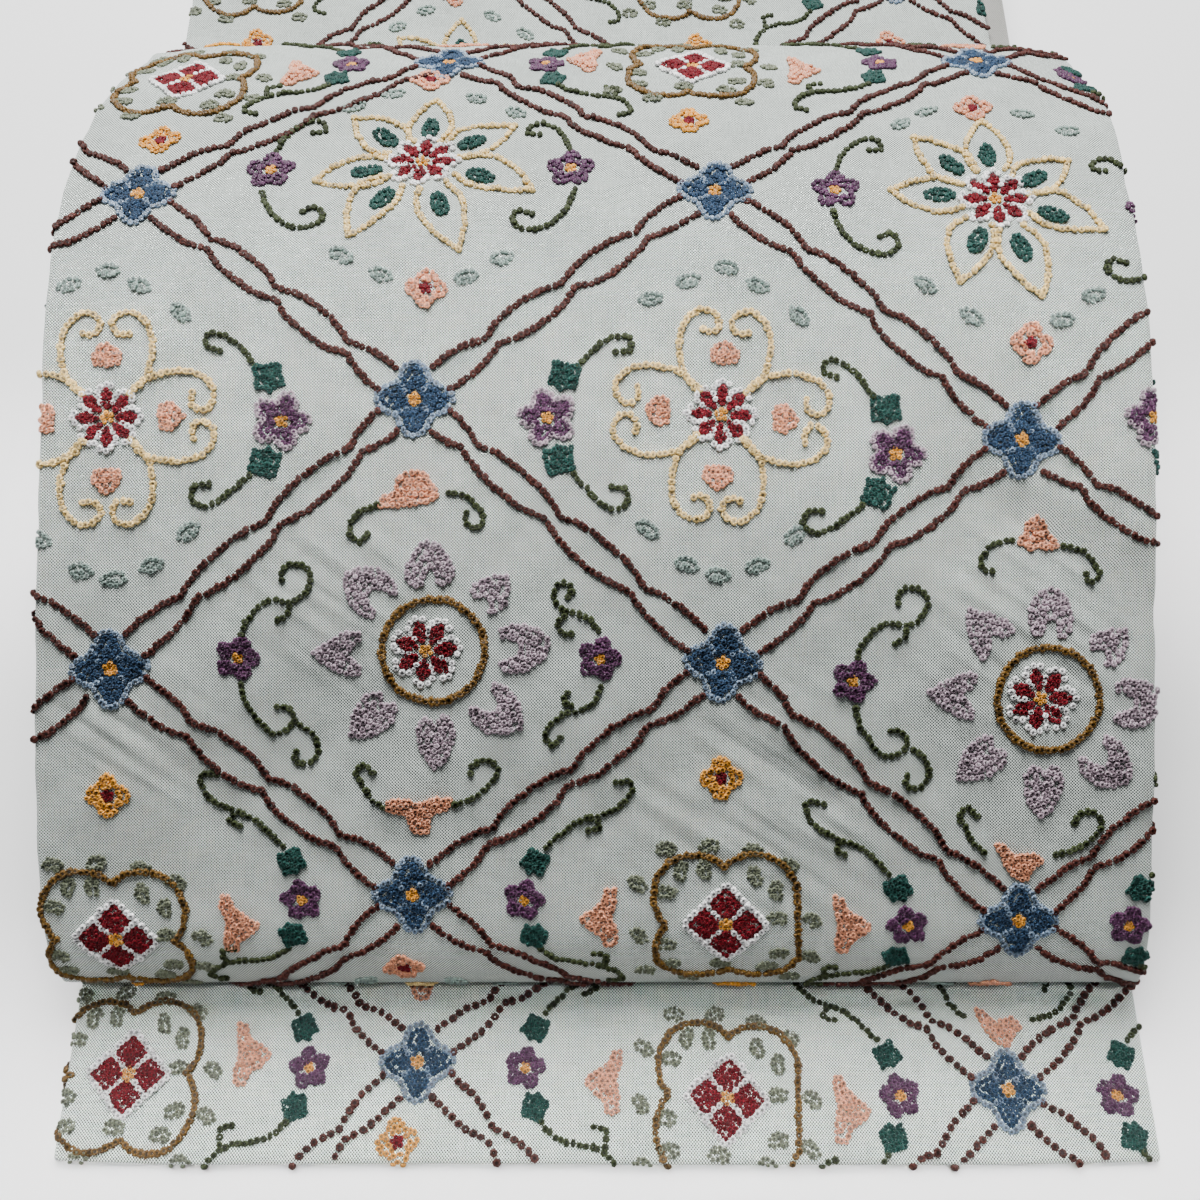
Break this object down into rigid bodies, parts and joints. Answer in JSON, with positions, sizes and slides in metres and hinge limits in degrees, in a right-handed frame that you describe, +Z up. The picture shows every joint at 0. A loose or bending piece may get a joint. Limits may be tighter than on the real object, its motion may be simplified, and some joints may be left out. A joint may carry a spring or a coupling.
{
  "type": "folded obi sash",
  "caption": "Wide silk obi sash, embroidered with knots, folded into a hollow drum bow over its flat folded length; lies on a surface.",
  "frame": {"origin": "on the surface that the sash lies on, under the middle of its width and of its length", "axes": "+Z up, +Y along the sash from the tail's tip to the far folds, +X across its width, to the right seen from the tail"},
  "size_m": [0.3242, 0.58, 0.1071],
  "materials": {
    "embroidered_silk": "plain pale grey silk with a soft sheen, covered in small thread knots",
    "silk_lining": "plain grey silk with a soft sheen"
  },
  "bodies": {
    "root": {"tail": "embroidered_silk", "drum_face": "embroidered_silk", "drum_lining": "silk_lining", "back_strip": "embroidered_silk", "folded_layers": "silk_lining"}
  },
  "joints": []
}
